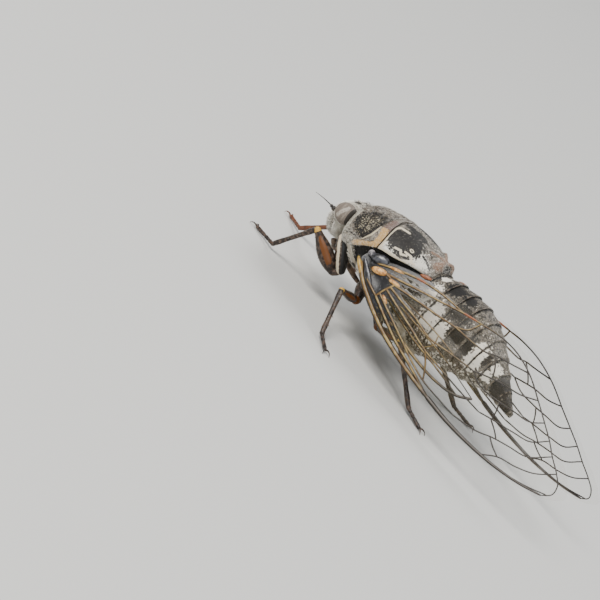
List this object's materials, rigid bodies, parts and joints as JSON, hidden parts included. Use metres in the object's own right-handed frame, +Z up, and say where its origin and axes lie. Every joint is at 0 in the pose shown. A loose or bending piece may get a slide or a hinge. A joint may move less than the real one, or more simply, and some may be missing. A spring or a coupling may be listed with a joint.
{
  "type": "cicada",
  "caption": "Life-size still model of a grey cicada at rest, with clear veined wings folded like a roof over its back.",
  "frame": {"origin": "centre of the bounding box, on the floor that the feet stand on", "axes": "+Z up, +Y from the head towards the wing tips, +X towards the animal's left"},
  "size_m": [0.025, 0.044, 0.0115],
  "materials": {
    "face": "pale, finely haired cuticle",
    "eye": "glossy grey-brown facets",
    "bristle": "dark bristle",
    "pronotum": "grey cuticle mottled with black and cream",
    "mesonotum": "black cuticle with cream lines",
    "flank": "dark cuticle with pale down",
    "abdomen": "dark cuticle banded with white bloom",
    "plate": "pale cuticle",
    "wing": "clear membrane with brown veins",
    "leg": "brown and orange cuticle"
  },
  "bodies": {
    "root": {"head": "face", "rostrum": "leg", "pronotum": "pronotum", "mesonotum": "mesonotum", "thorax": "flank", "abdomen": "abdomen", "eye_left": "eye", "antenna_left": "bristle", "operculum_left": "plate", "forewing_left": "wing", "hindwing_left": "wing", "fore_leg_left": "leg", "mid_leg_left": "leg", "hind_leg_left": "leg", "eye_right": "eye", "antenna_right": "bristle", "operculum_right": "plate", "forewing_right": "wing", "hindwing_right": "wing", "fore_leg_right": "leg", "mid_leg_right": "leg", "hind_leg_right": "leg"}
  },
  "joints": []
}
